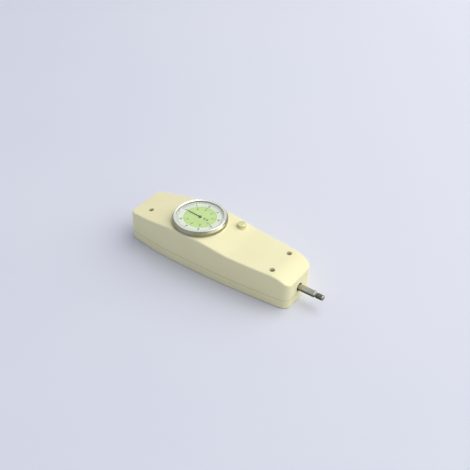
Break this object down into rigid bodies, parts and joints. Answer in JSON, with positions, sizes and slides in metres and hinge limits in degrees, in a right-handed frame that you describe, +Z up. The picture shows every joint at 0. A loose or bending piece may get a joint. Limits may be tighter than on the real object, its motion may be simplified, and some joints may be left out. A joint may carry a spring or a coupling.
{
  "type": "force gauge",
  "caption": "Analog push-pull force gauge in a cast housing: turning dial bezel, geared pointer, sprung spindle with a threaded end and a peak reset button.",
  "frame": {"origin": "on the back face, below the middle of the overall length with the spindle", "axes": "+X along the spindle towards its free end, +Y across, +Z up out of the dial"},
  "size_m": [0.23, 0.06, 0.0494],
  "materials": {
    "cream_paint": "satin enamel",
    "zinc_screw": "zinc plated",
    "brass": "satin",
    "black_bush": "matt",
    "cast_aluminium": "cast",
    "spring_steel": "oiled",
    "ground_steel": "ground",
    "brushed_steel": "brushed",
    "dark_metal": "matt black",
    "chrome": "polished",
    "black_rubber": "matt",
    "clear_crystal": "polished",
    "white_plastic": "satin",
    "dial_print": "printed",
    "cream_plastic": "satin",
    "satin_nickel": "satin"
  },
  "bodies": {
    "housing": {"back_case": "cream_paint", "front_cover": "cream_paint", "cover_screws": "zinc_screw", "mount_inserts": "brass", "spindle_bush": "black_bush", "chassis": "cast_aluminium", "chassis_screws": "zinc_screw", "lower_plate": "brass", "lower_plate_screws": "zinc_screw", "plate_pillars": "brass", "upper_plate": "brass", "upper_plate_screws": "zinc_screw", "bezel_wire": "spring_steel", "button_guide": "cream_plastic", "lever_pin": "ground_steel", "lever_bracket": "brushed_steel", "bracket_screw": "zinc_screw", "rear_spring": "spring_steel", "front_spring": "spring_steel", "button_spring": "spring_steel"},
    "spindle": {"spindle_rod": "ground_steel", "spring_flange": "ground_steel", "flange_clip": "spring_steel", "rack_carrier": "cast_aluminium", "carrier_pin": "ground_steel", "rack": "brass", "rack_screws": "zinc_screw"},
    "drive_gear": {"drive_arbor": "ground_steel", "drive_pinion": "brass", "drive_wheel": "brass"},
    "pointer_set": {"pointer_arbor": "ground_steel", "centre_pinion": "brass", "pointer_hub": "dark_metal", "pointer": "dark_metal"},
    "bezel": {"bezel_ring": "chrome", "crystal_seal": "black_rubber", "crystal": "clear_crystal", "spacer_ring": "white_plastic", "dial_plate": "dial_print", "dial_clip": "spring_steel"},
    "reset_button": {"reset_button": "satin_nickel", "button_clip": "spring_steel"},
    "peak_lever": {"peak_lever": "brushed_steel", "brake_pad": "black_rubber"}
  },
  "joints": [
    {"name": "spindle_slide", "type": "slide", "parent": "housing", "child": "spindle", "axis": [1, 0, 0], "range_m": [-0.01, 0.01], "stiffness_N_per_m": 5000, "deforming": ["rear_spring", "front_spring"]},
    {"name": "drive_gear_turn", "type": "hinge", "parent": "housing", "child": "drive_gear", "pos_m": [-0.02113, -0.001, 0.03], "axis": [0, 0, 1], "range_deg": [-144, 144]},
    {"name": "pointer_turn", "type": "hinge", "parent": "housing", "child": "pointer_set", "pos_m": [-0.0379, 0, 0.046], "axis": [0, 0, 1], "range_deg": [-359, 359]},
    {"name": "bezel_turn", "type": "hinge", "parent": "housing", "child": "bezel", "pos_m": [-0.0379, 0, 0.046], "axis": [0, 0, 1], "continuous": true},
    {"name": "reset_button_push", "type": "slide", "parent": "housing", "child": "reset_button", "axis": [0, 0, -1], "range_m": [0, 0.002], "stiffness_N_per_m": 500, "springref_m": -0.001, "deforming": ["button_spring"]},
    {"name": "peak_lever_tilt", "type": "hinge", "parent": "housing", "child": "peak_lever", "pos_m": [-0.00734, 0.01461, 0.0315], "axis": [-0.5251, 0.8511, 0], "range_deg": [0, 12]}
  ],
  "couplings": [
    {"joint": "drive_gear_turn", "follows": "spindle_slide", "rad_per_m": -250},
    {"joint": "pointer_turn", "follows": "spindle_slide", "rad_per_m": 625},
    {"joint": "peak_lever_tilt", "follows": "reset_button_push", "rad_per_m": 97.414}
  ]
}
